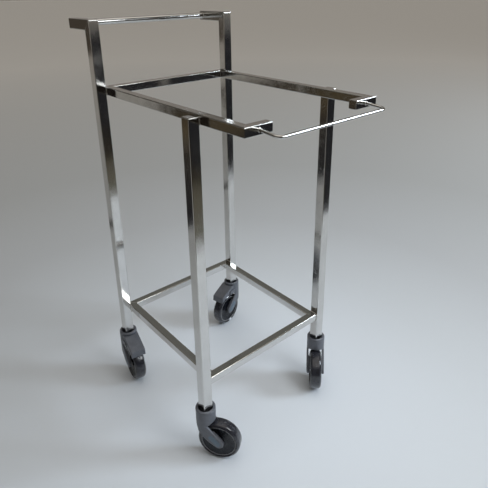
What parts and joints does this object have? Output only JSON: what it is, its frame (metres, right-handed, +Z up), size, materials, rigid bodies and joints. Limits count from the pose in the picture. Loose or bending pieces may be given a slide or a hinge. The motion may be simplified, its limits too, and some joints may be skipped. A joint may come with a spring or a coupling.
{
  "type": "linen trolley",
  "caption": "Wheeled stainless-tube linen trolley: open bag frame on tall legs, lower tie frame, raised push handle, front wire loop, swivel casters with rear brakes.",
  "frame": {"origin": "on the floor, under the middle of the whole length and width at rest", "axes": "+Z up, -Y towards the wire loop at the front, +Y towards the push handle, +X to the right seen from behind the front"},
  "size_m": [0.4515, 0.6802, 1.019],
  "materials": {
    "polished_stainless": "mirror-polished stainless tube with ground welds, faint drawing lines and fine scratches",
    "polished_wire": "bright drawn stainless rod",
    "grey_plastic": "moulded grey polyamide, satin, fine grain",
    "black_plastic": "smooth black moulded plastic, glossy",
    "tyre_rubber": "dark grey non-marking rubber, smooth and slightly glossy",
    "zinc_steel": "bright zinc-plated steel"
  },
  "bodies": {
    "frame": {"front_leg_left": "polished_stainless", "front_leg_right": "polished_stainless", "rear_upright_left": "polished_stainless", "rear_upright_right": "polished_stainless", "handle_arm_left": "polished_stainless", "handle_arm_right": "polished_stainless", "handle_bar": "polished_wire", "top_rail_left": "polished_stainless", "top_rail_right": "polished_stainless", "top_rail_rear": "polished_stainless", "top_return_left": "polished_stainless", "top_return_right": "polished_stainless", "lower_rail_left": "polished_stainless", "lower_rail_right": "polished_stainless", "lower_rail_front": "polished_stainless", "lower_rail_rear": "polished_stainless", "leg_top_caps": "polished_stainless", "handle_arm_caps": "polished_stainless", "return_caps": "polished_stainless", "wire_loop": "polished_wire", "leg_plugs": "grey_plastic", "swivel_pins": "zinc_steel"},
    "caster_front_left": {"fork_housing_front_left": "grey_plastic", "swivel_bearing_front_left": "zinc_steel", "axle_front_left": "zinc_steel", "axle_spacers_front_left": "zinc_steel"},
    "wheel_front_left": {"wheel_hub_front_left": "black_plastic", "tyre_front_left": "tyre_rubber", "hub_covers_front_left": "black_plastic", "wheel_bearings_front_left": "zinc_steel"},
    "caster_front_right": {"fork_housing_front_right": "grey_plastic", "swivel_bearing_front_right": "zinc_steel", "axle_front_right": "zinc_steel", "axle_spacers_front_right": "zinc_steel"},
    "wheel_front_right": {"wheel_hub_front_right": "black_plastic", "tyre_front_right": "tyre_rubber", "hub_covers_front_right": "black_plastic", "wheel_bearings_front_right": "zinc_steel"},
    "caster_rear_left": {"fork_housing_rear_left": "grey_plastic", "swivel_bearing_rear_left": "zinc_steel", "axle_rear_left": "zinc_steel", "axle_spacers_rear_left": "zinc_steel", "pedal_pin_rear_left": "zinc_steel"},
    "wheel_rear_left": {"wheel_hub_rear_left": "black_plastic", "tyre_rear_left": "tyre_rubber", "hub_covers_rear_left": "black_plastic", "wheel_bearings_rear_left": "zinc_steel"},
    "pedal_rear_left": {"brake_pedal_rear_left": "grey_plastic", "brake_shoe_rear_left": "black_plastic"},
    "caster_rear_right": {"fork_housing_rear_right": "grey_plastic", "swivel_bearing_rear_right": "zinc_steel", "axle_rear_right": "zinc_steel", "axle_spacers_rear_right": "zinc_steel", "pedal_pin_rear_right": "zinc_steel"},
    "wheel_rear_right": {"wheel_hub_rear_right": "black_plastic", "tyre_rear_right": "tyre_rubber", "hub_covers_rear_right": "black_plastic", "wheel_bearings_rear_right": "zinc_steel"},
    "pedal_rear_right": {"brake_pedal_rear_right": "grey_plastic", "brake_shoe_rear_right": "black_plastic"}
  },
  "joints": [
    {"name": "swivel_front_left", "type": "hinge", "parent": "frame", "child": "caster_front_left", "pos_m": [-0.198, -0.1455, 0.128], "axis": [0, 0, 1], "continuous": true},
    {"name": "roll_front_left", "type": "hinge", "parent": "caster_front_left", "child": "wheel_front_left", "pos_m": [-0.1785, -0.17335, 0.053], "axis": [0.8192, 0.5736, 0], "continuous": true},
    {"name": "swivel_front_right", "type": "hinge", "parent": "frame", "child": "caster_front_right", "pos_m": [0.198, -0.1455, 0.128], "axis": [0, 0, 1], "continuous": true},
    {"name": "roll_front_right", "type": "hinge", "parent": "caster_front_right", "child": "wheel_front_right", "pos_m": [0.17354, -0.16912, 0.053], "axis": [0.6947, -0.7193, 0], "continuous": true},
    {"name": "swivel_rear_left", "type": "hinge", "parent": "frame", "child": "caster_rear_left", "pos_m": [-0.198, 0.2395, 0.128], "axis": [0, 0, 1], "continuous": true},
    {"name": "roll_rear_left", "type": "hinge", "parent": "caster_rear_left", "child": "wheel_rear_left", "pos_m": [-0.20273, 0.20583, 0.053], "axis": [0.9903, -0.1392, 0], "continuous": true},
    {"name": "brake_rear_left", "type": "hinge", "parent": "caster_rear_left", "child": "pedal_rear_left", "pos_m": [-0.20204, 0.21078, 0.118], "axis": [0.9903, -0.1392, 0], "range_deg": [0, 8]},
    {"name": "swivel_rear_right", "type": "hinge", "parent": "frame", "child": "caster_rear_right", "pos_m": [0.198, 0.2395, 0.128], "axis": [0, 0, 1], "continuous": true},
    {"name": "roll_rear_right", "type": "hinge", "parent": "caster_rear_right", "child": "wheel_rear_right", "pos_m": [0.16487, 0.23185, 0.053], "axis": [0.225, -0.9744, 0], "continuous": true},
    {"name": "brake_rear_right", "type": "hinge", "parent": "caster_rear_right", "child": "pedal_rear_right", "pos_m": [0.16974, 0.23298, 0.118], "axis": [0.225, -0.9744, 0], "range_deg": [0, 8]}
  ]
}
